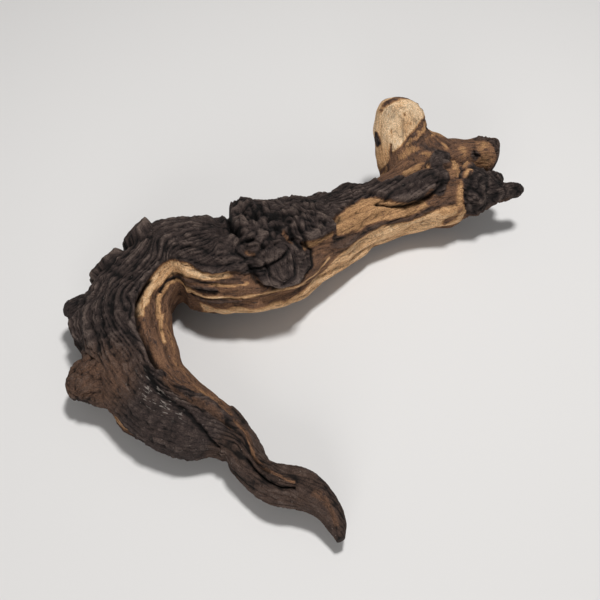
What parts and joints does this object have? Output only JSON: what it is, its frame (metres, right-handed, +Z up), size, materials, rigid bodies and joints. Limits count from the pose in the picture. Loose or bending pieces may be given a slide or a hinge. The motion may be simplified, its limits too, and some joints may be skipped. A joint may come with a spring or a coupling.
{
  "type": "dry root",
  "caption": "Dry gnarled root, hooked in plan: near-black ridged bark over tan wood, a thin curved tail, a pale upright paddle stub and dark knobs at the thick end.",
  "frame": {"origin": "under the middle of the root's outline in plan, on the floor it lies on", "axes": "+Z up, +X along the longest side, from the arch towards the finger of the dark burl; the tail's tip points to -Y"},
  "size_m": [0.3801, 0.3719, 0.0968],
  "materials": {
    "root_wood": "weathered, matt"
  },
  "bodies": {
    "root": {"dry_root": "root_wood"}
  },
  "joints": []
}
